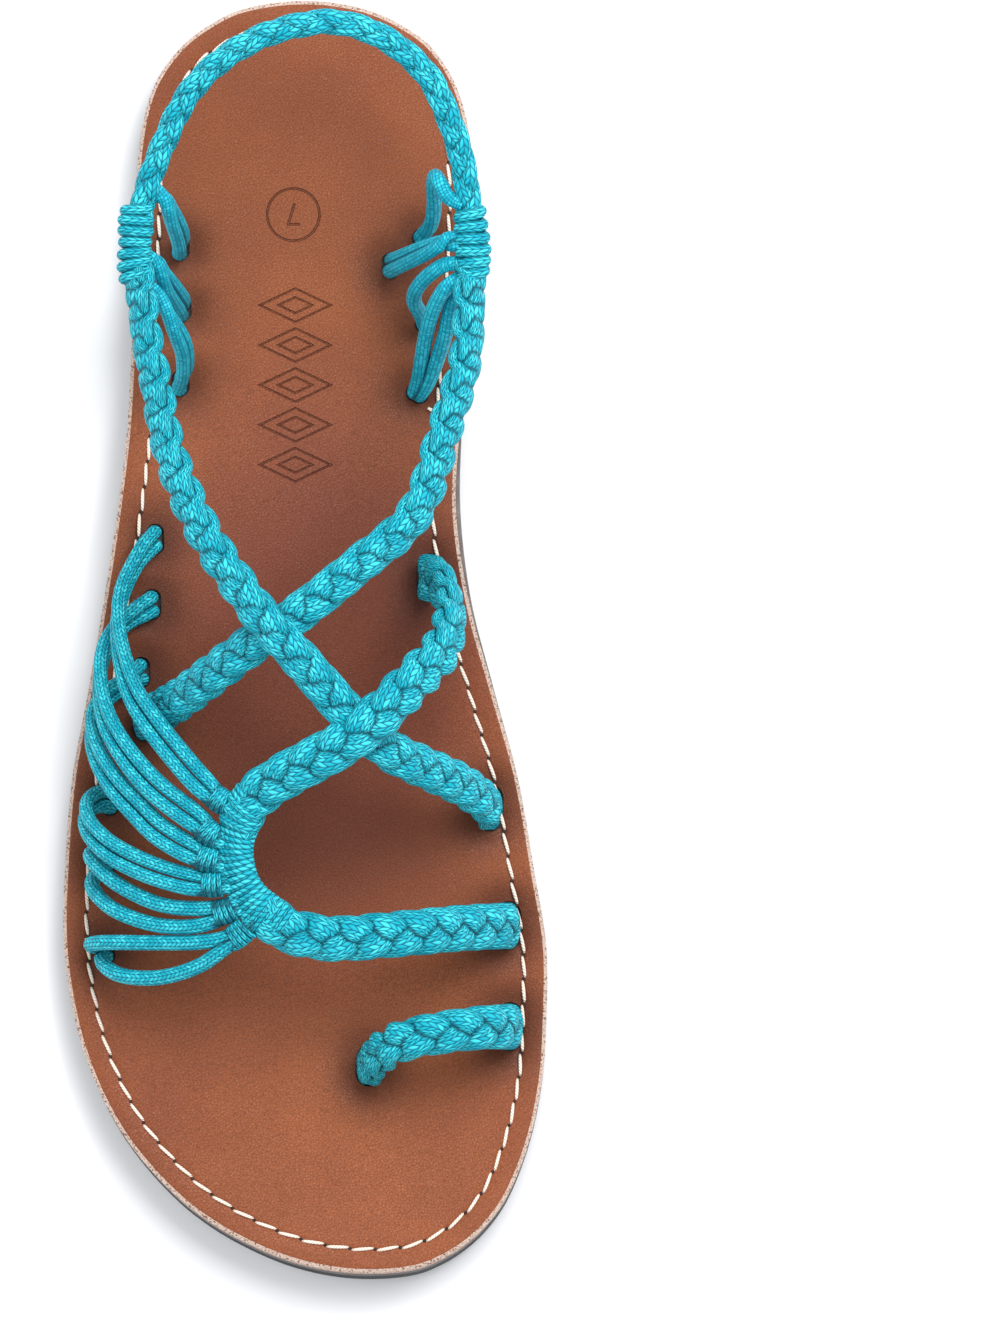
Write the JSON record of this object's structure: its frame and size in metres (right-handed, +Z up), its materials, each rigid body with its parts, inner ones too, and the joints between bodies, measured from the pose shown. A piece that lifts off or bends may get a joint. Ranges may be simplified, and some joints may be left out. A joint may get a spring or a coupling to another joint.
{
  "type": "slip-on sandal",
  "caption": "Flat slip-on sandal for the right foot with a braided cord upper: crossed ankle braids, a braided heel strap, a fan of doubled cords and a big-toe loop.",
  "frame": {"origin": "on the floor under the centre of the bounding box", "axes": "+Y to the heel, -Y to the toes, +X to the inner or big-toe side, +Z up"},
  "size_m": [0.0946, 0.2494, 0.0615],
  "materials": {
    "black_rubber": "matt moulded rubber",
    "grey_foam": "matt closed-cell foam with a skived edge",
    "tan_leather": "tan faux leather, grained, with a raw cream rim and cream stitching",
    "teal_cord": "braided nylon cord, satin"
  },
  "bodies": {
    "root": {"outsole": "black_rubber", "midsole": "grey_foam", "insole": "tan_leather", "upper": "teal_cord", "toe_loop": "teal_cord", "fan_cord_1": "teal_cord", "fan_cord_2": "teal_cord", "fan_cord_3": "teal_cord", "fan_cord_4": "teal_cord", "fan_cord_5": "teal_cord", "fan_cord_6": "teal_cord", "side_cord_outer_1": "teal_cord", "side_cord_outer_2": "teal_cord", "side_cord_outer_3": "teal_cord", "side_cord_inner_1": "teal_cord", "side_cord_inner_2": "teal_cord", "side_cord_inner_3": "teal_cord", "side_cord_inner_4": "teal_cord"}
  },
  "joints": []
}
